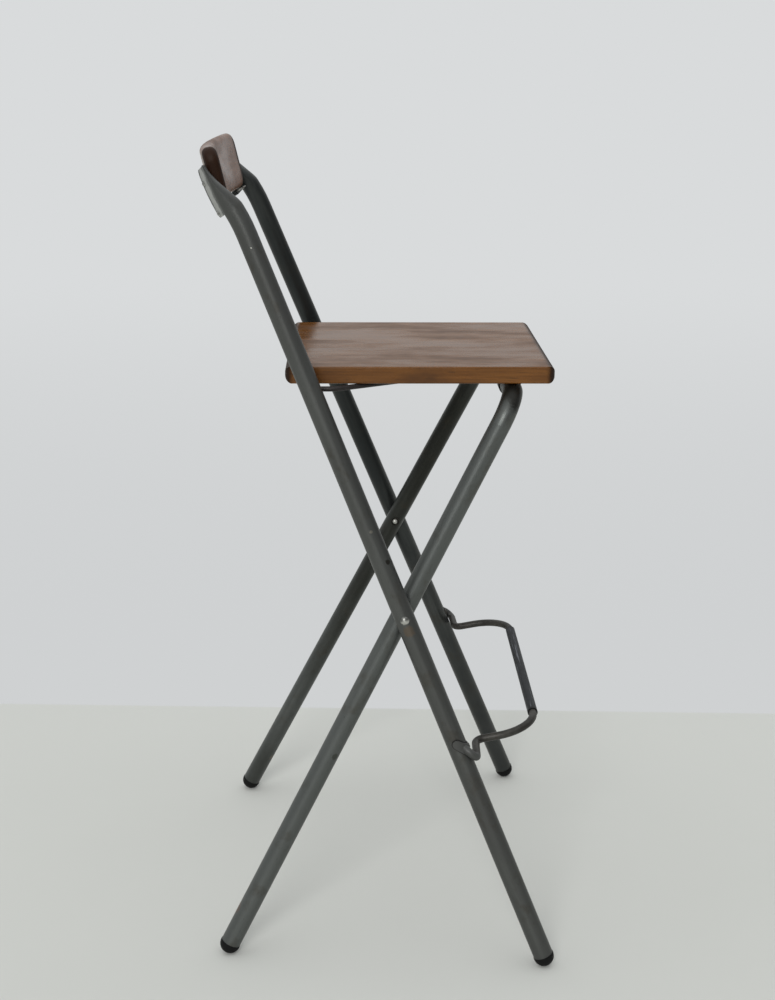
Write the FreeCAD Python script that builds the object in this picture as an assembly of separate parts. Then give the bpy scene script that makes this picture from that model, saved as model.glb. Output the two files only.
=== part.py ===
import FreeCAD, Part
import math
import os

# A folding bar stool, in millimetres. +X is the way the sitter faces, +Y is the sitter's left, +Z is up.
# The origin is on the floor, in the middle plane, under the middle of the stool's length.
# The stool is modelled open, standing on its four feet. Left is +Y; right parts are mirror images.

V = FreeCAD.Vector
X_AXIS = V(1, 0, 0)
Y_AXIS = V(0, 1, 0)
Z_AXIS = V(0, 0, 1)

# Helper solids run this far past the place they cut or meet
REACH = 60.0

# Round frame tube
TUBE_R = 12.7
TUBE_WALL = 2.0

# Rivet pivot where the two frames cross, seen from the side
PIVOT_X = 30.2
PIVOT_Z = 454.0

# Back frame tubes: front legs below the pivot, back uprights above it
BACK_LEAN = math.radians(22.2)
BACK_SPLAY = math.radians(6.17)
BACK_PIVOT_Y = 228.1

# Leg frame: rear legs and cross bar of one tube
LEG_LEAN = math.radians(26.8)
LEG_SPLAY = math.radians(4.72)
LEG_PIVOT_Y = 201.9
LEG_CORNER_R = 42.0

# Upper end of a back tube: bent back, then curled forward and pressed to a lip behind the board
BEND_START_Z = 917.0
BEND_ANGLE = math.radians(10.0)
BEND_R = 185.0
PRESS_LENGTH = 64.0
PRESS_CURL = math.radians(14.0)
PRESS_T = 4.0
# Sections of the pressed end: distance past the bend, thickness, half width
PRESS_SECTIONS = (
    (0.0, 2 * TUBE_R, TUBE_R),
    (5.0, 25.1, 12.8),
    (12.0, 23.4, 13.1),
    (24.0, 18.9, 13.7),
    (38.0, 12.8, 14.2),
    (51.0, 7.6, 14.4),
    (PRESS_LENGTH, PRESS_T, 14.4),
)
LIP_START = 2.0
LIP_ROOT_INBOARD = 1.0
LIP_END_INBOARD = 38.0
LIP_SLOPE = 0.24
LIP_CORNER_R = 7.0

# Rebate in the board for the pressed ends
REBATE_MARGIN = 8.0
REBATE_DEPTH = 30.0
REBATE_END_GAP = 0.5

# Seat board
SEAT_REAR_X = -116.6
SEAT_FRONT_X = 216.4
SEAT_HALF_W = 162.5
SEAT_TOP_Z = 755.7
SEAT_T = 21.3
SEAT_CORNER_R = 14.0
SEAT_NOSE_R = 9.0
SEAT_SIDE_R = 1.8
SEAT_BOTTOM_Z = SEAT_TOP_Z - SEAT_T

# The leg frame's cross bar lies just under the seat
BAR_GAP = 0.3
BAR_Z = SEAT_BOTTOM_Z - BAR_GAP - TUBE_R

# Wire link: its cross part turns in clips under the seat, its ends point at the back tubes
LINK_R = 3.25
LINK_X = 49.9
LINK_Z = SEAT_BOTTOM_Z - BAR_GAP - LINK_R
LINK_END_X = -80.6
LINK_END_Y = 180.3
LINK_ARM_Y = 175.9
LINK_CORNER_Y = 175.4
LINK_CORNER_X = -54.1
LINK_HALF_W = 112.0
LINK_BEND_R = (4.0, 24.0, 18.0)
LINK_CLIP_Y = 70.0

# Straps that hold the seat to the cross bar, and the clips that hold the link
RUN_CLEARANCE = 0.06
STRAP_Y = 95.0
STRAP_W = 22.0
STRAP_T = 1.5
STRAP_TAB = 15.0
CLIP_W = 12.0
CLIP_T = 1.2
CLIP_TAB = 10.0

# Wood screws: shank radius, shank length, head radius, head height
STRAP_SCREW = (1.8, 14.0, 3.7, 2.0)
CLIP_SCREW = (1.4, 12.0, 2.8, 1.6)
BOARD_SCREW = (1.8, 15.0, 4.0, 2.2)
BOARD_SCREW_AT = (7.0, 46.0)
BOARD_SCREW_INBOARD = 28.0
SCREW_TIP_R = 0.4

# Backrest board: a slab bent to a wide arc, leaning back
BOARD_HALF_L = 150.0
BOARD_H = 74.0
BOARD_T = 18.0
BOARD_R = 800.0
BOARD_LEAN = math.radians(13.5)
BOARD_MID_Z = 979.5
BOARD_END_BACK_X = -203.9
BOARD_EDGE_R = 7.5
BOARD_CORNER_R = 18.0

# Footrest: a bent rod with a sleeve on its cross part and flattened ends on the back tubes
REST_R = 5.0
REST_X = 201.7
REST_Z = 295.0
REST_CORNERS = (
    V(95.9, 248.0, 297.0),
    V(111.9, 261.5, 287.0),
    V(121.1, 259.5, 278.8),
    V(122.9, 207.0, 280.5),
    V(REST_X, 206.5, REST_Z),
)
REST_BEND_R = (14.0, 8.0, 11.0, 52.0)
SLEEVE_R = 6.6
SLEEVE_HALF_L = 154.0
PADDLE_X = 101.6
PADDLE_Z = 293.6
PADDLE_TILT = math.radians(-30.0)
PADDLE_HALF_L = 7.0
PADDLE_HALF_W = 5.4
PADDLE_T = 2.2
WELD_W = 1.0
WELD_T = 1.0

# Foot plugs
PLUG_R = 13.2
PLUG_CENTRE_Z = 12.9
PLUG_SIDE = 1.5
PLUG_STEM = 20.0

# Rivets, with a spacer between the frames and a washer under the tail
RIVET_R = 2.5
RIVET_RUN = 0.08
RIVET_HEAD_R = 5.5
RIVET_HEAD_H = 2.6
RIVET_HEAD_SKIRT = 2.0
TAIL_R = 3.4
TAIL_H = 1.8
SPACER_R = 6.5
SPACER_FACE_Y = 215.5
SPOT_R = 7.3
SPOT_FACE_Y = 215.75
SPOT_DEPTH = 5.0
WASHER_R = 5.9
WASHER_FACE_Y = 187.5
END_PLAY = 0.2

os.makedirs("parts", exist_ok=True)


def export(name, shape):
    shape.exportStep("parts/" + name + ".step")


def mirrored(shape):
    """The same shape on the other side of the middle plane."""
    return shape.mirror(V(0, 0, 0), Y_AXIS)


def export_pair(name, left):
    """Write a left shape (+Y) and its mirror image as two parts."""
    export(name + "_left", left)
    export(name + "_right", mirrored(left))


def whole(shape):
    """The single solid that a boolean operation leaves."""
    return shape.removeSplitter().Solids[0]


def bar(start, end, radius):
    """Round bar between two points."""
    axis = end - start
    return Part.makeCylinder(radius, axis.Length, start, axis)


def box(low, high):
    """Box between two opposite corners."""
    size = high - low
    return Part.makeBox(size.x, size.y, size.z, low)


def line_point(z, lean, splay, pivot_y):
    """Point at height z on a left tube's straight line through the pivot."""
    rise = z - PIVOT_Z
    x = PIVOT_X + rise * math.tan(lean)
    y = pivot_y - rise / math.cos(lean) * math.tan(splay)
    return V(x, y, z)


def at_pivot(y):
    return V(PIVOT_X, y, PIVOT_Z)


def back_point(z):
    return line_point(z, -BACK_LEAN, BACK_SPLAY, BACK_PIVOT_Y)


def leg_point(z):
    return line_point(z, LEG_LEAN, LEG_SPLAY, LEG_PIVOT_Y)


# Directions of the left back tube: along it, to its rear and to its outer side
BACK_UP = (back_point(1000.0) - back_point(0.0)).normalize()
BACK_REAR = (BACK_UP * BACK_UP.x - X_AXIS).normalize()
BACK_OUT = BACK_REAR.cross(BACK_UP)
LEG_UP = (leg_point(1000.0) - leg_point(0.0)).normalize()


def rounded_path(points, radii):
    """Straight runs through points, joined by an arc of its own radius at each inner point."""
    edges = []
    start = points[0]
    for i, radius in enumerate(radii, start=1):
        corner = points[i]
        before = (points[i - 1] - corner).normalize()
        after = (points[i + 1] - corner).normalize()
        half = before.getAngle(after) / 2
        back = radius / math.tan(half)
        middle_way = (before + after).normalize()
        enter = corner + before * back
        leave = corner + after * back
        middle = corner + middle_way * (radius / math.sin(half) - radius)
        edges.append(Part.LineSegment(start, enter).toShape())
        edges.append(Part.Arc(enter, middle, leave).toShape())
        start = leave
    edges.append(Part.LineSegment(start, points[-1]).toShape())
    return Part.Wire(edges)


def swept(path, radius):
    """Round bar along a path."""
    first = path.Edges[0]
    start = first.valueAt(first.FirstParameter)
    tangent = first.tangentAt(first.FirstParameter)
    circle = Part.Wire(Part.makeCircle(radius, start, tangent))
    return path.makePipeShell([circle], True, False)


def cap(face, outward, radius, height):
    """Domed cap of a base radius and height that stands on a point."""
    ball_r = (radius ** 2 + height ** 2) / (2 * height)
    ball = Part.makeSphere(ball_r, face - outward * (ball_r - height))
    return ball.common(bar(face, face + outward * (height + 1.0), radius + 1.0))


def tube_start(point_at, direction):
    """End of a leg tube above its foot plug."""
    return point_at(PLUG_CENTRE_Z) + direction * PLUG_SIDE


def foot_plug(point_at, direction):
    """Domed plug with a small flat on the floor and a stem inside the tube."""
    centre = point_at(PLUG_CENTRE_Z)
    rim = tube_start(point_at, direction)
    dome = Part.makeSphere(PLUG_R, centre).cut(bar(centre, centre + direction * REACH, REACH))
    side = bar(centre, rim, PLUG_R)
    stem = bar(centre, rim + direction * PLUG_STEM, TUBE_R - TUBE_WALL - RUN_CLEARANCE)
    floor = box(centre - V(REACH, REACH, REACH), V(centre.x + REACH, centre.y + REACH, 0))
    return whole(dome.fuse([side, stem]).cut(floor))


def turned(angle):
    """Directions along the back tube and to its rear where it has bent back by an angle."""
    cos = math.cos(angle)
    sin = math.sin(angle)
    return BACK_UP * cos + BACK_REAR * sin, BACK_REAR * cos - BACK_UP * sin


def bend_point(angle):
    """Centre line of the backward bend."""
    rear = turned(angle)[1]
    return back_point(BEND_START_Z) + (BACK_REAR - rear) * BEND_R


def pressed_point(s):
    """Rear wall of the pressed end at distance s past the bend, and the direction to its rear."""
    radius = PRESS_LENGTH / PRESS_CURL
    first_rear = turned(BEND_ANGLE)[1]
    start = bend_point(BEND_ANGLE) + first_rear * TUBE_R
    rear = turned(BEND_ANGLE - s / radius)[1]
    return start + (rear - first_rear) * radius, rear


def oval(centre, wide, deep):
    """Closed oval about a centre, from its two half axes."""
    if abs(wide.Length - deep.Length) < 1e-6:
        circle = Part.Circle(centre, wide.cross(deep), wide.Length)
        circle.XAxis = wide
        return Part.Wire(circle.toShape())
    return Part.Wire(Part.Ellipse(centre + wide, centre + deep, centre).toShape())


def pressed_wedge():
    """Tube end that thins from full round to the lip while it widens a little."""
    loops = []
    for s, thickness, half_width in PRESS_SECTIONS:
        wall, rear = pressed_point(s)
        centre = wall - rear * (thickness / 2)
        loops.append(oval(centre, BACK_OUT * half_width, rear * (thickness / 2)))
    return Part.makeLoft(loops, True, False)


def lip_shift(inboard):
    """Shift of the lip's section at a distance inboard of the tube, along the board's curve."""
    rear = turned(BEND_ANGLE - PRESS_CURL / 2)[1]
    return (rear * LIP_SLOPE - BACK_OUT) * inboard


def lip_slab(first_s, last_s, front, back, first_inboard, last_inboard):
    """Slab that follows the pressed end's rear wall, from front to back of it."""
    corners = []
    for offset in (front, back):
        for s in (first_s, (first_s + last_s) / 2, last_s):
            wall, rear = pressed_point(s)
            corners.append(wall + rear * offset)
    edges = (
        Part.Arc(*corners[:3]).toShape(),
        Part.LineSegment(corners[2], corners[5]).toShape(),
        Part.Arc(*corners[3:]).toShape(),
        Part.LineSegment(corners[3], corners[0]).toShape(),
    )
    section = Part.Face(Part.Wire(Part.sortEdges(list(edges))[0]))
    section.translate(lip_shift(first_inboard))
    return section.extrude(lip_shift(last_inboard) - lip_shift(first_inboard))


def lip_rebate():
    """Space that the board leaves for the pressed end and all behind it."""
    low = LIP_START - REBATE_MARGIN
    high = PRESS_LENGTH + REBATE_MARGIN
    return lip_slab(low, high, -PRESS_T, REBATE_DEPTH, -REBATE_MARGIN, LIP_END_INBOARD + REBATE_END_GAP)


def lip():
    """Flat inboard lip of the pressed end, which carries the backrest screws."""
    slab = lip_slab(LIP_START, PRESS_LENGTH, -PRESS_T, 0.0, LIP_ROOT_INBOARD, LIP_END_INBOARD)
    far = pressed_point(PRESS_LENGTH / 2)[0] + lip_shift(LIP_END_INBOARD)
    corner_edges = []
    for edge in slab.Edges:
        near_end = abs((edge.CenterOfMass - far).dot(BACK_OUT)) < 1.0
        if near_end and edge.Length < PRESS_T * 1.5:
            corner_edges.append(edge)
    return slab.makeFillet(LIP_CORNER_R, corner_edges)


def back_tube():
    """Front leg and back upright in one tube, hollow up to its pressed end."""
    start = tube_start(back_point, BACK_UP)
    line = Part.LineSegment(start, back_point(BEND_START_Z)).toShape()
    bend = Part.Arc(bend_point(0), bend_point(BEND_ANGLE / 2), bend_point(BEND_ANGLE)).toShape()
    path = Part.Wire([line, bend])
    tube = swept(path, TUBE_R).cut(swept(path, TUBE_R - TUBE_WALL))
    rivet_hole = bar(at_pivot(BACK_PIVOT_Y - REACH), at_pivot(BACK_PIVOT_Y + REACH), RIVET_R)
    spot = bar(at_pivot(SPOT_FACE_Y - SPOT_DEPTH), at_pivot(SPOT_FACE_Y), SPOT_R)
    return whole(tube.cut([rivet_hole, spot]).fuse([pressed_wedge(), lip()]).cut(lip_holes()))


def leg_frame_tube():
    """Both rear legs and the cross bar under the seat, bent from one tube."""
    foot = tube_start(leg_point, LEG_UP)
    corner = leg_point(BAR_Z)
    points = [foot, corner, V(corner.x, -corner.y, corner.z), V(foot.x, -foot.y, foot.z)]
    path = rounded_path(points, [LEG_CORNER_R, LEG_CORNER_R])
    tube = swept(path, TUBE_R).cut(swept(path, TUBE_R - TUBE_WALL))
    hole = bar(at_pivot(-BACK_PIVOT_Y), at_pivot(BACK_PIVOT_Y), RIVET_R + RIVET_RUN)
    return whole(tube.cut(hole))


def pivot_rivet():
    """Rivet fixed in the back tube: domed head outside, tail head inside the leg frame."""
    surface_y = BACK_PIVOT_Y + TUBE_R / math.cos(BACK_SPLAY)
    tail_y = WASHER_FACE_Y - END_PLAY
    head_base = bar(at_pivot(surface_y - RIVET_HEAD_SKIRT), at_pivot(surface_y), RIVET_HEAD_R)
    head = head_base.fuse(cap(at_pivot(surface_y), Y_AXIS, RIVET_HEAD_R, RIVET_HEAD_H))
    head = head.cut(bar(back_point(PIVOT_Z - REACH), back_point(PIVOT_Z + REACH), TUBE_R))
    shank = bar(at_pivot(tail_y), at_pivot(surface_y), RIVET_R)
    tail = cap(at_pivot(tail_y), V(0, -1, 0), TAIL_R, TAIL_H)
    return whole(shank.fuse([head, tail]))


def saddle_washer(face_y, radius):
    """Washer with one flat face, fitted to the round of the leg tube, on the rivet."""
    disc = bar(at_pivot(min(face_y, LEG_PIVOT_Y)), at_pivot(max(face_y, LEG_PIVOT_Y)), radius)
    leg = bar(leg_point(PIVOT_Z - REACH), leg_point(PIVOT_Z + REACH), TUBE_R)
    hole = bar(at_pivot(LEG_PIVOT_Y - REACH), at_pivot(LEG_PIVOT_Y + REACH), RIVET_R + RIVET_RUN)
    return whole(disc.cut([leg, hole]))


def saddle(x, y, z, bore_r, thickness, tab, width):
    """Strap round the lower half of a bar under the seat, with a tab in front and behind."""
    low = y - width / 2
    high = y + width / 2
    outer_r = bore_r + thickness
    round_part = bar(V(x, low, z), V(x, high, z), outer_r)
    walls = box(V(x - outer_r, low, z), V(x + outer_r, high, SEAT_BOTTOM_Z))
    reach = outer_r + tab
    tabs = box(V(x - reach, low, SEAT_BOTTOM_Z - thickness), V(x + reach, high, SEAT_BOTTOM_Z))
    above = box(V(x - reach, low, SEAT_BOTTOM_Z), V(x + reach, high, SEAT_BOTTOM_Z + 2 * outer_r))
    bore = bar(V(x, low, z), V(x, high, z), bore_r)
    slot = box(V(x - bore_r, low, z), V(x + bore_r, high, SEAT_BOTTOM_Z))
    return whole(round_part.fuse([walls, tabs]).cut([above, bore, slot]))


def screw(seat_point, inward, size):
    """Pan head wood screw whose head sits on a point and whose shank goes inward."""
    shank_r, shank_l, head_r, head_h = size
    tip = seat_point + inward * shank_l
    shank = bar(seat_point, tip, shank_r)
    point = Part.makeCone(shank_r, SCREW_TIP_R, 2 * shank_r, tip, inward)
    head = cap(seat_point, inward * -1, head_r, head_h)
    return whole(shank.fuse([point, head]))


def tab_screws(x, y, bore_r, thickness, tab, size):
    """The two screws of one saddle, through its tabs into the seat."""
    reach = bore_r + thickness + tab / 2
    z = SEAT_BOTTOM_Z - thickness
    return [screw(V(x + side * reach, y, z), Z_AXIS, size) for side in (-1, 1)]


def group(left_solids):
    """Solids of the left side and their mirror images, as separate solids of one part."""
    return Part.Compound(left_solids + [mirrored(s) for s in left_solids])


def rounded_slab(low, high, axis, radius):
    """Box with its four edges along an axis rounded."""
    slab = box(low, high)
    edges = [e for e in slab.Edges if abs(e.tangentAt(e.FirstParameter).dot(axis)) > 0.9]
    return slab.makeFillet(radius, edges)


def seat_board(screws):
    """Flat board with half-round front and rear edges, eased side edges and rounded corners."""
    low = V(SEAT_REAR_X, -SEAT_HALF_W, SEAT_BOTTOM_Z)
    high = V(SEAT_FRONT_X, SEAT_HALF_W, SEAT_TOP_Z)
    profile = rounded_slab(low, high, Y_AXIS, SEAT_NOSE_R)
    rims = [e for e in profile.Edges if abs(abs(e.CenterOfMass.y) - SEAT_HALF_W) < SEAT_SIDE_R]
    profile = profile.makeFillet(SEAT_SIDE_R, rims)
    plan = rounded_slab(low, high, Z_AXIS, SEAT_CORNER_R)
    return whole(whole(profile.common(plan)).cut(screws))


def backrest_board(screws, rebates):
    """Bent slab: an arc in plan, pushed up along the lean, with rounded corners and edges."""
    up = V(-math.sin(BOARD_LEAN), 0, math.cos(BOARD_LEAN))
    forward = V(math.cos(BOARD_LEAN), 0, math.sin(BOARD_LEAN))
    side = Y_AXIS * BOARD_HALF_L
    back_sag = arc_sag(BOARD_R + BOARD_T)
    front_sag = arc_sag(BOARD_R)
    end_back = V(BOARD_END_BACK_X, 0, BOARD_MID_Z)
    base = end_back - forward * back_sag - up * (BOARD_H / 2)
    back = (base + forward * back_sag + side, base, base + forward * back_sag - side)
    middle_front = base + forward * BOARD_T
    front_end = middle_front + forward * front_sag
    front = (front_end - side, middle_front, front_end + side)
    outline = Part.Wire([
        Part.Arc(*back).toShape(),
        Part.LineSegment(back[2], front[0]).toShape(),
        Part.Arc(*front).toShape(),
        Part.LineSegment(front[2], back[0]).toShape(),
    ])
    slab = Part.Face(outline).extrude(up * BOARD_H)
    short = [e for e in slab.Edges if e.Length < BOARD_T * 1.2]
    slab = slab.makeFillet(BOARD_CORNER_R, short)
    broad = sorted(slab.Faces, key=lambda f: f.Area)[-2:]
    rims = broad[0].Edges + broad[1].Edges
    slab = slab.makeFillet(BOARD_EDGE_R, rims)
    return whole(slab.cut(rebates).cut(screws))


def arc_sag(radius):
    """How far an arc's middle lies behind its ends over the board's length."""
    return radius - math.sqrt(radius ** 2 - BOARD_HALF_L ** 2)


def backrest_screw_places():
    """Where the two screws of the left lip sit on its rear face, and the way they point."""
    places = []
    for s in BOARD_SCREW_AT:
        wall, rear = pressed_point(s)
        square = (rear + BACK_OUT * LIP_SLOPE).normalize()
        places.append((wall + lip_shift(BOARD_SCREW_INBOARD), square * -1))
    return places


def lip_holes():
    """Screw holes through the left lip."""
    reach = 2 * PRESS_T
    return [bar(at - way * reach, at + way * reach, BOARD_SCREW[0]) for at, way in backrest_screw_places()]


def paddle_prism(grow):
    """Rounded outline of the footrest's flattened end, seen from the side, pushed outward."""
    along = V(math.cos(PADDLE_TILT), 0, math.sin(PADDLE_TILT))
    across = along.cross(Y_AXIS) * (PADDLE_HALF_W + grow)
    middle = V(PADDLE_X, back_point(PADDLE_Z).y, PADDLE_Z)
    low = middle - along * PADDLE_HALF_L
    high = middle + along * PADDLE_HALF_L
    round_off = along * (PADDLE_HALF_W + grow)
    outline = Part.Wire([
        Part.LineSegment(low + across, high + across).toShape(),
        Part.Arc(high + across, high + round_off, high - across).toShape(),
        Part.LineSegment(high - across, low - across).toShape(),
        Part.Arc(low - across, low - round_off, low + across).toShape(),
    ])
    return Part.Face(outline).extrude(Y_AXIS * (2 * TUBE_R))


def leg_round(radius):
    """Round bar on the left front leg's line, near the footrest."""
    return bar(back_point(REST_Z - REACH), back_point(REST_Z + REACH), radius)


def footrest_rod():
    """Bent rod with its flattened ends laid on the outer sides of the front legs."""
    left = list(REST_CORNERS)
    right = [V(p.x, -p.y, p.z) for p in reversed(left)]
    path = rounded_path(left + right, REST_BEND_R + REST_BEND_R[::-1])
    rod = swept(path, REST_R)
    paddle = paddle_prism(0.0).common(leg_round(TUBE_R + PADDLE_T))
    legs = [leg_round(TUBE_R), mirrored(leg_round(TUBE_R))]
    return whole(rod.fuse([paddle, mirrored(paddle)]).cut(legs))


def footrest_weld(rod):
    """Bead round one flattened end."""
    bead = paddle_prism(WELD_W).common(leg_round(TUBE_R + WELD_T))
    return whole(bead.cut([leg_round(TUBE_R), rod]))


def footrest_sleeve():
    """Sleeve on the straight cross part of the footrest."""
    ends = [V(REST_X, side * SLEEVE_HALF_L, REST_Z) for side in (-1, 1)]
    return bar(ends[0], ends[1], SLEEVE_R).cut(bar(ends[0], ends[1], REST_R + RUN_CLEARANCE))


def link_rod():
    """Wire hoop whose cross part turns under the seat."""
    left = [
        V(LINK_END_X, LINK_END_Y, LINK_Z),
        V(LINK_END_X, LINK_ARM_Y, LINK_Z),
        V(LINK_CORNER_X, LINK_CORNER_Y, LINK_Z),
        V(LINK_X, LINK_HALF_W, LINK_Z),
    ]
    right = [V(p.x, -p.y, p.z) for p in reversed(left)]
    return swept(rounded_path(left + right, LINK_BEND_R + LINK_BEND_R[::-1]), LINK_R)


def main():
    bar_x = leg_point(BAR_Z).x
    bar_bore = TUBE_R + RUN_CLEARANCE
    link_bore = LINK_R + RUN_CLEARANCE
    strap_screws = tab_screws(bar_x, STRAP_Y, bar_bore, STRAP_T, STRAP_TAB, STRAP_SCREW)
    clip_screws = tab_screws(LINK_X, LINK_CLIP_Y, link_bore, CLIP_T, CLIP_TAB, CLIP_SCREW)
    board_screws = [screw(at, way, BOARD_SCREW) for at, way in backrest_screw_places()]
    seat_screws = group(strap_screws + clip_screws)

    export_pair("back_tube", back_tube())
    export("backrest_board", backrest_board(group(board_screws), group([lip_rebate()])))
    export("backrest_screws", group(board_screws))
    rod = footrest_rod()
    export("footrest_rod", rod)
    export("footrest_sleeve", footrest_sleeve())
    export("footrest_welds", group([footrest_weld(rod)]))
    export_pair("front_foot", foot_plug(back_point, BACK_UP))
    export_pair("pivot_rivet", pivot_rivet())

    export("leg_frame_tube", leg_frame_tube())
    export_pair("rear_foot", foot_plug(leg_point, LEG_UP))
    export_pair("pivot_spacer", saddle_washer(SPACER_FACE_Y, SPACER_R))
    export_pair("pivot_washer", saddle_washer(WASHER_FACE_Y, WASHER_R))

    export("seat_board", seat_board(seat_screws))
    strap = saddle(bar_x, STRAP_Y, BAR_Z, bar_bore, STRAP_T, STRAP_TAB, STRAP_W).cut(strap_screws)
    export_pair("seat_strap", whole(strap))
    export("seat_strap_screws", group(strap_screws))
    clip = saddle(LINK_X, LINK_CLIP_Y, LINK_Z, link_bore, CLIP_T, CLIP_TAB, CLIP_W).cut(clip_screws)
    export_pair("link_clip", whole(clip))
    export("link_clip_screws", group(clip_screws))

    export("link_rod", link_rod())


main()
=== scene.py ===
import math

import bpy
from mathutils import Matrix, Vector

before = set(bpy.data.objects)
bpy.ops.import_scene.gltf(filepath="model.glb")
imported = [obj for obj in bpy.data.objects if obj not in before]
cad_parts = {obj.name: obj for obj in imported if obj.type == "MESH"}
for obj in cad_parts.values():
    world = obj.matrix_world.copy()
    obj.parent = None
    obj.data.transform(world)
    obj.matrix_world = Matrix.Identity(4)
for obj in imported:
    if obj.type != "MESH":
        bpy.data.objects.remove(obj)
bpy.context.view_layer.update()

# A folding bar stool on a pale studio floor, in metres, in the frame of the solids.
# +X is the way the sitter faces and +Y the sitter's left. The camera stands on the sitter's right.

# Camera, solved from the photograph's frame of 775 by 1000 pixels
IMAGE_HEIGHT = 1000
FOCAL_PX = 1644.2
SENSOR = 36.0
CAMERA_AT = Vector((-0.0393, -2.1419, 1.1470))
PITCH_DOWN = math.radians(15.81)
YAW_RIGHT = math.radians(1.43)
ROLL = math.radians(0.30)

X_AXIS = (1, 0, 0)
Y_AXIS = (0, 1, 0)
Z_AXIS = (0, 0, 1)

# Middle lines of the tubes on the sitter's left: a point, and the lean fore and aft and splay outward
BACK_LINE = (Vector((0.0302, 0.2281, 0.454)), math.radians(-22.2), math.radians(6.17))
LEG_LINE = (Vector((0.0302, 0.2019, 0.454)), math.radians(26.8), math.radians(4.72))
TUBE_R = 0.0127

# Where the look of a piece changes: heights above the floor, or distances from the piece's middle
# Tube steel turns paler towards the floor, from the first height down to the second
PALER_BELOW = 0.60
PALEST_AT = 0.05
ROD_END_FROM, ROD_END_TO = 0.2465, 0.2585
SLEEVE_RING_FROM, SLEEVE_RING_TO = 0.1485, 0.1495
DUST_TOP, DUST_FULL = 0.006, 0.0005
SEAT_MIDDLE = 0.0499
# The wood darkens between these distances: end grain, with painted shade
SEAT_END_FROM, SEAT_END_TO = 0.1545, 0.1625
BOARD_END_FROM, BOARD_END_TO = 0.130, 0.139
MARK_RAGGEDNESS = 0.6

# Studio light
ROOM_DARK = 0.16
ROOM_BRIGHT = 0.56
OVERHEAD = 0.80
SUN_STRENGTH = 1.5
SUN_SPREAD = math.radians(24)
SUN_FROM = Vector((-0.22, -0.90, 0.50))
BRIGHT_SIDE = (-0.45, 0.9, 0.0)

# Floor, and the line on it beyond which the camera sees the wall
WALL_LINE_Y = 0.555
WALL_LINE_SLOPE = 0.044
WALL_LINE_SOFT = 0.004
WALL_FADE_END = 6.0
FLOOR_HALF = 30.0


def both(name):
    return [name + "_left", name + "_right"]


def dress(names, material):
    """Give solids of the frame one material."""
    for name in names:
        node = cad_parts[name]
        if not node.material_slots:
            node.data.materials.append(material)
        for slot in node.material_slots:
            slot.material = material


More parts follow.
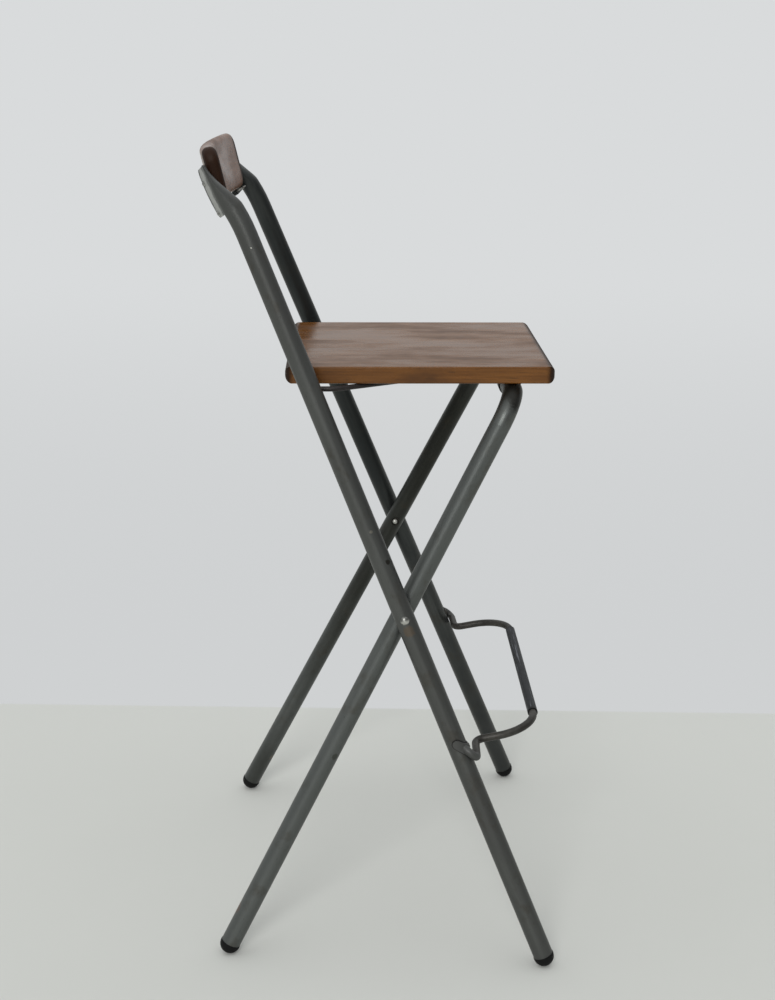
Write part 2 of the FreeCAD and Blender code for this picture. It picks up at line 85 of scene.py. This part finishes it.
class Surface:
    """A node material in the making. Most methods add one node and return its output."""

    def __init__(self, name):
        self.material = bpy.data.materials.new(name)
        self.material.use_nodes = True
        self.tree = self.material.node_tree
        self.shader = self.tree.nodes["Principled BSDF"]
        self.position = self.add("ShaderNodeTexCoord").outputs["Object"]

    def add(self, kind, **settings):
        node = self.tree.nodes.new(kind)
        for name, value in settings.items():
            setattr(node, name, value)
        return node

    def feed(self, socket, value):
        """Connect an output to a socket, or set a plain value on it."""
        if isinstance(value, bpy.types.NodeSocket):
            self.tree.links.new(value, socket)
        else:
            socket.default_value = value

    def math(self, operation, first, second=0.0):
        node = self.add("ShaderNodeMath", operation=operation)
        self.feed(node.inputs[0], first)
        self.feed(node.inputs[1], second)
        return node.outputs[0]

    def measure(self, axis, vector=None):
        """Distance along an axis, as a plain number."""
        node = self.add("ShaderNodeVectorMath", operation="DOT_PRODUCT")
        self.feed(node.inputs[0], vector or self.position)
        node.inputs[1].default_value = axis
        return node.outputs["Value"]

    def point(self, x, y, z):
        node = self.add("ShaderNodeCombineXYZ")
        for socket, value in zip(node.inputs, (x, y, z)):
            self.feed(socket, value)
        return node.outputs[0]

    def stretched(self, vector, scale, offset=(0.0, 0.0, 0.0)):
        node = self.add("ShaderNodeVectorMath", operation="MULTIPLY_ADD")
        self.feed(node.inputs[0], vector)
        node.inputs[1].default_value = scale
        node.inputs[2].default_value = offset
        return node.outputs[0]

    def noise(self, vector, scale, detail=3.0, roughness=0.55, distortion=0.0):
        node = self.add("ShaderNodeTexNoise")
        self.feed(node.inputs["Vector"], vector)
        node.inputs["Scale"].default_value = scale
        node.inputs["Detail"].default_value = detail
        node.inputs["Roughness"].default_value = roughness
        node.inputs["Distortion"].default_value = distortion
        return node.outputs["Fac"]

    def rise(self, value, low, high, top=1.0):
        """Smooth rise from 0 at low to top at high."""
        node = self.add("ShaderNodeMapRange", interpolation_type="SMOOTHSTEP")
        self.feed(node.inputs["Value"], value)
        node.inputs["From Min"].default_value = low
        node.inputs["From Max"].default_value = high
        node.inputs["To Max"].default_value = top
        return node.outputs["Result"]

    def span(self, value, low, high):
        """Spread a value that runs from 0 to 1 over low to high."""
        node = self.add("ShaderNodeMapRange")
        self.feed(node.inputs["Value"], value)
        node.inputs["To Min"].default_value = low
        node.inputs["To Max"].default_value = high
        return node.outputs["Result"]

    def near(self, place, point, radius):
        """Share of a mark: 1 close to its point and 0 away from it, with a ragged edge."""
        node = self.add("ShaderNodeVectorMath", operation="DISTANCE")
        self.feed(node.inputs[0], place)
        node.inputs[1].default_value = point
        noise = self.noise(self.position, 1.6 / radius, 4.0, 0.7)
        edge = self.math("MULTIPLY", noise, 2 * MARK_RAGGEDNESS * radius)
        distance = self.math("ADD", node.outputs["Value"], edge)
        return self.rise(distance, (1.1 + MARK_RAGGEDNESS) * radius, (0.7 + MARK_RAGGEDNESS) * radius)

    def mix(self, share, first, second):
        node = self.add("ShaderNodeMix", data_type="RGBA")
        self.feed(node.inputs["Factor"], share)
        self.feed(node.inputs[6], first)
        self.feed(node.inputs[7], second)
        return node.outputs[2]

    def done(self, colour, roughness, height, bump_distance):
        self.feed(self.shader.inputs["Base Color"], colour)
        self.feed(self.shader.inputs["Roughness"], roughness)
        bump = self.add("ShaderNodeBump")
        bump.inputs["Distance"].default_value = bump_distance
        self.feed(bump.inputs["Height"], height)
        self.feed(self.shader.inputs["Normal"], bump.outputs["Normal"])
        return self.material


def rgb(red, green, blue):
    """Linear colour from the 0 to 255 values that a screen shows."""
    def linear(value):
        share = value / 255
        return share / 12.92 if share <= 0.04045 else ((share + 0.055) / 1.055) ** 2.4
    return (linear(red), linear(green), linear(blue), 1.0)


WALL_FAR = rgb(217, 219, 220)
WALL_NEAR = rgb(207, 209, 210)
FLOOR_LIGHT = rgb(206, 207, 202)
FLOOR_DARK = rgb(203, 204, 199)

# Marks on the tubes: place, radius and colour
BACK_MARKS = [
    (Vector((-0.1534, -0.1884, 0.9034)), 0.0009, rgb(176, 176, 168)),
    (Vector((0.1886, 0.2704, 0.1089)), 0.0030, rgb(150, 152, 146)),
    (Vector((0.0354, -0.2425, 0.4403)), 0.0075, rgb(96, 88, 78)),
    (Vector((0.0094, -0.2297, 0.5266)), 0.0035, rgb(48, 46, 42)),
    (Vector((-0.0114, -0.2277, 0.5644)), 0.0022, rgb(118, 116, 108)),
]
LEG_MARKS = [
    (Vector((-0.1848, -0.2358, 0.0634)), 0.0110, rgb(104, 92, 84)),
    (Vector((-0.1716, -0.2332, 0.0906)), 0.0070, rgb(126, 120, 112)),
    (Vector((-0.1590, 0.2307, 0.0567)), 0.0050, rgb(96, 92, 84)),
    (Vector((-0.0562, -0.2296, 0.2678)), 0.0050, rgb(72, 74, 70)),
]

# Marks on both sides alike: a painted sheen of light grey behind the pressed ends, and painted shade where
# the cross tube bends down
PRESSED_END_SHEEN = [
    (Vector((-0.1975, 0.1540, 0.941)), 0.0165, rgb(156, 157, 154)),
    (Vector((-0.2080, 0.1520, 0.961)), 0.0170, rgb(160, 161, 158)),
    (Vector((-0.2165, 0.1500, 0.981)), 0.0170, rgb(160, 161, 158)),
]
# Painted shade: the top of the leg tubes darkened where the cross tube bends down under the seat
BEND_PAINTED_SHADE = [(Vector((0.1740, 0.1745, 0.7215)), 0.0210, rgb(44, 44, 41))]


def tube_coordinates(surface, line):
    """The left-hand place of a point, its place along and round the leg, and how far outward it is."""
    middle, lean, splay = line
    x, y, z = [surface.measure(axis) for axis in (X_AXIS, Y_AXIS, Z_AXIS)]
    folded = surface.point(x, surface.math("ABSOLUTE", y), z)
    upright = math.cos(splay)
    direction = Vector((math.sin(lean) * upright, -math.sin(splay), math.cos(lean) * upright))
    side = Vector(Y_AXIS) - direction * direction.y
    side.normalize()
    lane = surface.math("SUBTRACT", surface.measure(side, folded), side.dot(middle))
    own_lane = surface.math("ADD", lane, surface.math("SIGN", y))
    around = surface.measure(direction.cross(side), folded)
    place = surface.point(surface.measure(direction, folded), own_lane, around)
    return folded, place, surface.math("DIVIDE", lane, TUBE_R)


def tube_steel(name, line, outer, inner, marks, paired_marks):
    """Old gunmetal lacquer, with painted light on the outer sides and painted shade on the inner sides,
    paler towards the floor, with soft clouds, rubbing, specks and marks.
    """
    s = Surface(name)
    folded, place, outward = tube_coordinates(s, line)
    cloud = s.noise(s.stretched(place, (0.5, 1.0, 1.0)), 13.0, 5.0, 0.6)
    rubbed = s.noise(s.stretched(place, (6.0, 55.0, 55.0)), 1.0, 3.0)
    grain = s.noise(s.stretched(place, (140.0, 900.0, 900.0)), 1.0, 2.0)
    speck = s.noise(place, 520.0, 2.0)
    blotch = s.noise(s.stretched(place, (1.0, 1.3, 1.3), (3.1, 0.0, 0.0)), 30.0, 4.0, 0.6)
    # Inner sides paler towards the floor
    paler_low = s.rise(s.measure(Z_AXIS), PALER_BELOW, PALEST_AT, 0.9)
    # Painted light and shade: outer sides take the lit tone and inner sides the shaded tone, with random
    # patina between
    painted_light_and_patina = s.math("ADD", s.math("ADD", outward, paler_low), s.span(cloud, -0.9, 0.9))
    colour = s.mix(s.rise(painted_light_and_patina, -1.0, 0.9), inner, outer)
    colour = s.mix(s.rise(rubbed, 0.45, 0.80, 0.22), colour, rgb(118, 121, 118))
    colour = s.mix(s.rise(blotch, 0.54, 0.74, 0.40), colour, rgb(66, 60, 50))
    colour = s.mix(s.rise(grain, 0.60, 0.80, 0.25), colour, rgb(40, 41, 38))
    colour = s.mix(s.rise(speck, 0.70, 0.76, 0.45), colour, rgb(24, 24, 22))
    for point, radius, tint in marks:
        colour = s.mix(s.near(s.position, point, radius), colour, tint)
    # Marks on both sides alike, all painted light: sheen on the back tubes and shade on the leg frame
    for point, radius, tint in paired_marks:
        colour = s.mix(s.near(folded, point, radius), colour, tint)
    s.shader.inputs["Metallic"].default_value = 0.7
    s.shader.inputs["IOR"].default_value = 1.4
    roughness = s.span(s.math("MULTIPLY", cloud, rubbed), 0.44, 0.30)
    height = s.math("ADD", s.math("MULTIPLY", blotch, 0.6), s.math("MULTIPLY", speck, 0.4))
    return s.done(colour, roughness, height, 0.00015)


def rod_steel(name, light, dark, end):
    """Bent rod, browned with age, with its far ends in a colour of their own."""
    s = Surface(name)
    cloud = s.noise(s.position, 26.0, 5.0, 0.65)
    fine = s.noise(s.position, 230.0, 3.0, 0.6)
    colour = s.mix(s.rise(cloud, 0.35, 0.68), dark, light)
    colour = s.mix(s.rise(fine, 0.52, 0.70, 0.5), colour, rgb(38, 32, 26))
    outward = s.math("ABSOLUTE", s.measure(Y_AXIS))
    colour = s.mix(s.rise(outward, ROD_END_FROM, ROD_END_TO, 0.85), colour, end)
    s.shader.inputs["Metallic"].default_value = 0.4
    return s.done(colour, s.span(fine, 0.58, 0.40), fine, 0.0002)


def sleeve_paint():
    """Dark blue-grey sleeve with lengthwise scuffs and a black ring at each end."""
    s = Surface("sleeve_paint")
    scuff = s.noise(s.stretched(s.position, (420.0, 9.0, 420.0)), 1.0, 3.0, 0.6)
    cloud = s.noise(s.position, 30.0, 4.0)
    fine = s.noise(s.stretched(s.position, (1100.0, 50.0, 1100.0)), 1.0, 2.0)
    colour = s.mix(s.rise(cloud, 0.35, 0.65), rgb(20, 22, 25), rgb(32, 34, 38))
    colour = s.mix(s.rise(scuff, 0.57, 0.66, 0.75), colour, rgb(112, 115, 121))
    colour = s.mix(s.rise(fine, 0.60, 0.70, 0.6), colour, rgb(12, 12, 14))
    from_middle = s.math("ABSOLUTE", s.measure(Y_AXIS))
    colour = s.mix(s.rise(from_middle, SLEEVE_RING_FROM, SLEEVE_RING_TO), colour, rgb(14, 14, 15))
    s.shader.inputs["Specular IOR Level"].default_value = 0.25
    return s.done(colour, s.span(scuff, 0.42, 0.65), scuff, 0.0002)


def dull_zinc(name, tone):
    """Plated steel that has gone dull and a little dirty."""
    s = Surface(name)
    cloud = s.noise(s.position, 150.0, 4.0, 0.6)
    fine = s.noise(s.position, 1100.0, 2.0)
    colour = s.mix(s.rise(cloud, 0.38, 0.66), rgb(*[int(part * 0.55) for part in tone]), rgb(*tone))
    s.shader.inputs["Metallic"].default_value = 0.8
    return s.done(colour, s.span(fine, 0.28, 0.55), cloud, 0.0001)


def rubber():
    """Matt black rubber, dusty where it meets the floor."""
    s = Surface("rubber")
    grain = s.noise(s.position, 700.0, 2.0)
    dust_cloud = s.noise(s.position, 120.0, 4.0)
    low = s.rise(s.measure(Z_AXIS), DUST_TOP, DUST_FULL)
    dust = s.math("MULTIPLY", low, s.rise(dust_cloud, 0.45, 0.75, 0.7))
    colour = s.mix(dust, rgb(7, 7, 7), rgb(48, 46, 43))
    s.shader.inputs["Specular IOR Level"].default_value = 0.2
    return s.done(colour, s.span(grain, 0.5, 0.8), grain, 0.0001)


def wood(name, grain_axis, light, dark, offset, middle, end_from, end_to):
    """Stained board under varnish. Stretches are small along the grain, and the ends are dark and dull: dark
    end grain, with painted shade on the ends and rounded corners.
    """
    s = Surface(name)

    def stretch(along, across):
        return tuple(along if axis == grain_axis else across for axis in "XYZ")

    place = s.stretched(s.position, (1.0, 1.0, 1.0), offset)
    warp = s.noise(s.stretched(place, stretch(1.2, 6.0)), 1.0, 3.0)
    rings = s.noise(s.stretched(place, stretch(1.0, 34.0)), 1.0, 4.0, 0.55, 0.5)
    figure = s.math("SINE", s.math("MULTIPLY", s.math("ADD", rings, warp), 30.0))
    fibre = s.noise(s.stretched(place, stretch(16.0, 420.0)), 1.0, 3.0, 0.6)
    pores = s.noise(s.stretched(place, stretch(40.0, 900.0)), 1.0, 1.0)
    cloud = s.noise(s.stretched(place, stretch(1.0, 2.4)), 8.0, 4.0, 0.6)
    scuff = s.noise(s.stretched(place, stretch(26.0, 160.0)), 1.0, 4.0, 0.7)
    colour = s.mix(s.rise(figure, -1.0, 1.0, 0.30), light, dark)
    colour = s.mix(s.rise(fibre, 0.42, 0.68, 0.45), colour, dark)
    colour = s.mix(s.rise(cloud, 0.46, 0.72, 0.55), colour, rgb(50, 28, 15))
    colour = s.mix(s.rise(scuff, 0.62, 0.76, 0.18), colour, rgb(140, 98, 62))
    colour = s.mix(s.rise(pores, 0.62, 0.74, 0.40), colour, rgb(30, 17, 10))
    long_axis = X_AXIS if grain_axis == "X" else Y_AXIS
    from_middle = s.math("ABSOLUTE", s.math("SUBTRACT", s.measure(long_axis), middle))
    end_noise = s.noise(place, 420.0, 3.0)
    reach = s.math("ADD", from_middle, s.span(end_noise, -0.0015, 0.0015))
    # Dark ends: end grain, and painted shade where the ends and corners turn from the light and lie under
    # the pressed tube ends
    end_grain_and_shade = s.rise(reach, end_from, end_to, 0.92)
    colour = s.mix(end_grain_and_shade, colour, rgb(24, 10, 5))
    s.shader.inputs["IOR"].default_value = 1.4
    s.feed(s.shader.inputs["Specular IOR Level"], s.span(end_grain_and_shade, 0.5, 0.22))
    s.shader.inputs["Specular Tint"].default_value = (1.0, 0.95, 0.86, 1.0)
    varnish = s.span(s.rise(cloud, 0.32, 0.68), 0.15, 0.42)
    roughness = s.math("MAXIMUM", varnish, s.math("MULTIPLY", end_grain_and_shade, 0.6))
    return s.done(colour, roughness, s.math("SUBTRACT", fibre, pores), 0.00003)


def dress_frame():
    """Give every solid its material."""
    # Each tube's first tone is its painted lit outer side and its second tone its painted shaded inner side
    back = tube_steel("back_steel", BACK_LINE, rgb(82, 83, 81), rgb(46, 49, 49), BACK_MARKS, PRESSED_END_SHEEN)
    legs = tube_steel("leg_steel", LEG_LINE, rgb(92, 95, 93), rgb(46, 47, 43), LEG_MARKS, BEND_PAINTED_SHADE)
    dress(both("back_tube"), back)
    dress(["leg_frame_tube"], legs)
    dress(["footrest_rod"], rod_steel("rod_steel", rgb(68, 66, 61), rgb(38, 36, 32), rgb(76, 77, 75)))
    dress(["footrest_welds"], rod_steel("weld_steel", rgb(40, 38, 36), rgb(24, 23, 22), rgb(28, 27, 26)))
    dress(["link_rod"], rod_steel("link_steel", rgb(50, 45, 44), rgb(34, 30, 29), rgb(40, 36, 35)))
    dress(["footrest_sleeve"], sleeve_paint())
    dress(both("front_foot") + both("rear_foot"), rubber())
    seat_wood = wood("seat_wood", "X", rgb(116, 74, 32), rgb(80, 46, 16), (0, 0, 0),
                     SEAT_MIDDLE, SEAT_END_FROM, SEAT_END_TO)
    dress(["seat_board"], seat_wood)
    board_wood = wood("backrest_wood", "Y", rgb(116, 74, 46), rgb(84, 50, 32), (3, 5, 1),
                      0.0, BOARD_END_FROM, BOARD_END_TO)
    dress(["backrest_board"], board_wood)
    dress(both("pivot_rivet"), dull_zinc("rivet_zinc", (196, 196, 190)))
    dress(["backrest_screws"], dull_zinc("screw_zinc", (170, 170, 166)))
    dress(["seat_strap_screws", "link_clip_screws"], dull_zinc("fastener_zinc", (110, 106, 100)))
    # Painted shade: washers and spacers at the pivots get a dark tone for the shade round each rivet and
    # between the tubes
    dress(both("pivot_spacer") + both("pivot_washer"), dull_zinc("washer_shade_steel", (52, 50, 46)))
    dress(both("seat_strap") + both("link_clip"), dull_zinc("strap_steel", (58, 50, 46)))


def make_camera():
    """Camera at the photograph's viewing angle."""
    forward = Vector((math.sin(YAW_RIGHT), math.cos(YAW_RIGHT), 0))
    right = Vector((math.cos(YAW_RIGHT), -math.sin(YAW_RIGHT), 0))
    up = Vector(Z_AXIS)
    ahead = forward * math.cos(PITCH_DOWN) - up * math.sin(PITCH_DOWN)
    above = up * math.cos(PITCH_DOWN) + forward * math.sin(PITCH_DOWN)
    across = right * math.cos(ROLL) + above * math.sin(ROLL)
    upward = above * math.cos(ROLL) - right * math.sin(ROLL)
    data = bpy.data.cameras.new("camera")
    data.sensor_width = SENSOR
    data.lens = FOCAL_PX * SENSOR / IMAGE_HEIGHT
    camera = bpy.data.objects.new("camera", data)
    turn = Matrix((across, upward, -ahead)).transposed().to_4x4()
    camera.matrix_world = Matrix.Translation(CAMERA_AT) @ turn
    bpy.context.scene.collection.objects.link(camera)
    bpy.context.scene.camera = camera


def seen(surface):
    """1 for rays straight from the camera, and 0 for all other light."""
    return surface.add("ShaderNodeLightPath").outputs["Is Camera Ray"]


class Sky(Surface):
    """The world's nodes, with the direction that light comes from as its position."""

    def __init__(self):
        world = bpy.data.worlds.new("sky")
        world.use_nodes = True
        bpy.context.scene.world = world
        self.tree = world.node_tree
        self.background = self.tree.nodes["Background"]
        self.position = self.add("ShaderNodeTexCoord").outputs["Generated"]


def make_sky():
    """Bright wall behind the stool and to its left, a bright ceiling and a darker room around the camera."""
    s = Sky()
    level = s.rise(s.measure(BRIGHT_SIDE), -0.6, 0.6)
    level = s.span(level, ROOM_DARK, ROOM_BRIGHT)
    level = s.math("ADD", level, s.rise(s.measure(Z_AXIS), 0.2, 1.0, OVERHEAD))
    room = s.mix(level, (0.0, 0.0, 0.0, 1.0), (0.97, 0.99, 1.0, 1.0))
    s.feed(s.background.inputs["Color"], s.mix(seen(s), room, WALL_FAR))


def make_sun():
    data = bpy.data.lights.new("sun", "SUN")
    data.energy = SUN_STRENGTH
    data.angle = SUN_SPREAD
    sun = bpy.data.objects.new("sun", data)
    sun.rotation_euler = SUN_FROM.to_track_quat("Z", "Y").to_euler()
    bpy.context.scene.collection.objects.link(sun)


def make_floor():
    """Pale floor that shows the paler wall's colour beyond a line behind the stool."""
    mesh = bpy.data.meshes.new("floor")
    half = FLOOR_HALF
    corners = [(-half, -half, 0), (half, -half, 0), (half, half, 0), (-half, half, 0)]
    mesh.from_pydata(corners, [], [(0, 1, 2, 3)])
    floor = bpy.data.objects.new("floor", mesh)
    bpy.context.scene.collection.objects.link(floor)
    s = Surface("floor_paint")
    cloud = s.noise(s.position, 3.0, 3.0)
    s.shader.inputs["Specular IOR Level"].default_value = 0.1
    material = s.done(s.mix(cloud, FLOOR_LIGHT, FLOOR_DARK), s.span(cloud, 0.6, 0.7), cloud, 0.0002)
    distance = s.measure((WALL_LINE_SLOPE, 1.0, 0.0))
    beyond = s.rise(distance, WALL_LINE_Y - WALL_LINE_SOFT, WALL_LINE_Y + WALL_LINE_SOFT)
    wall = s.add("ShaderNodeEmission")
    s.feed(wall.inputs["Color"], s.mix(s.rise(distance, WALL_LINE_Y, WALL_FADE_END), WALL_NEAR, WALL_FAR))
    choose = s.add("ShaderNodeMixShader")
    s.feed(choose.inputs[0], s.math("MULTIPLY", beyond, seen(s)))
    s.feed(choose.inputs[1], s.shader.outputs[0])
    s.feed(choose.inputs[2], wall.outputs[0])
    s.feed(s.tree.nodes["Material Output"].inputs["Surface"], choose.outputs[0])
    mesh.materials.append(material)


def main():
    bpy.context.scene.view_settings.view_transform = "Standard"
    make_camera()
    make_sky()
    make_sun()
    make_floor()
    dress_frame()


main()
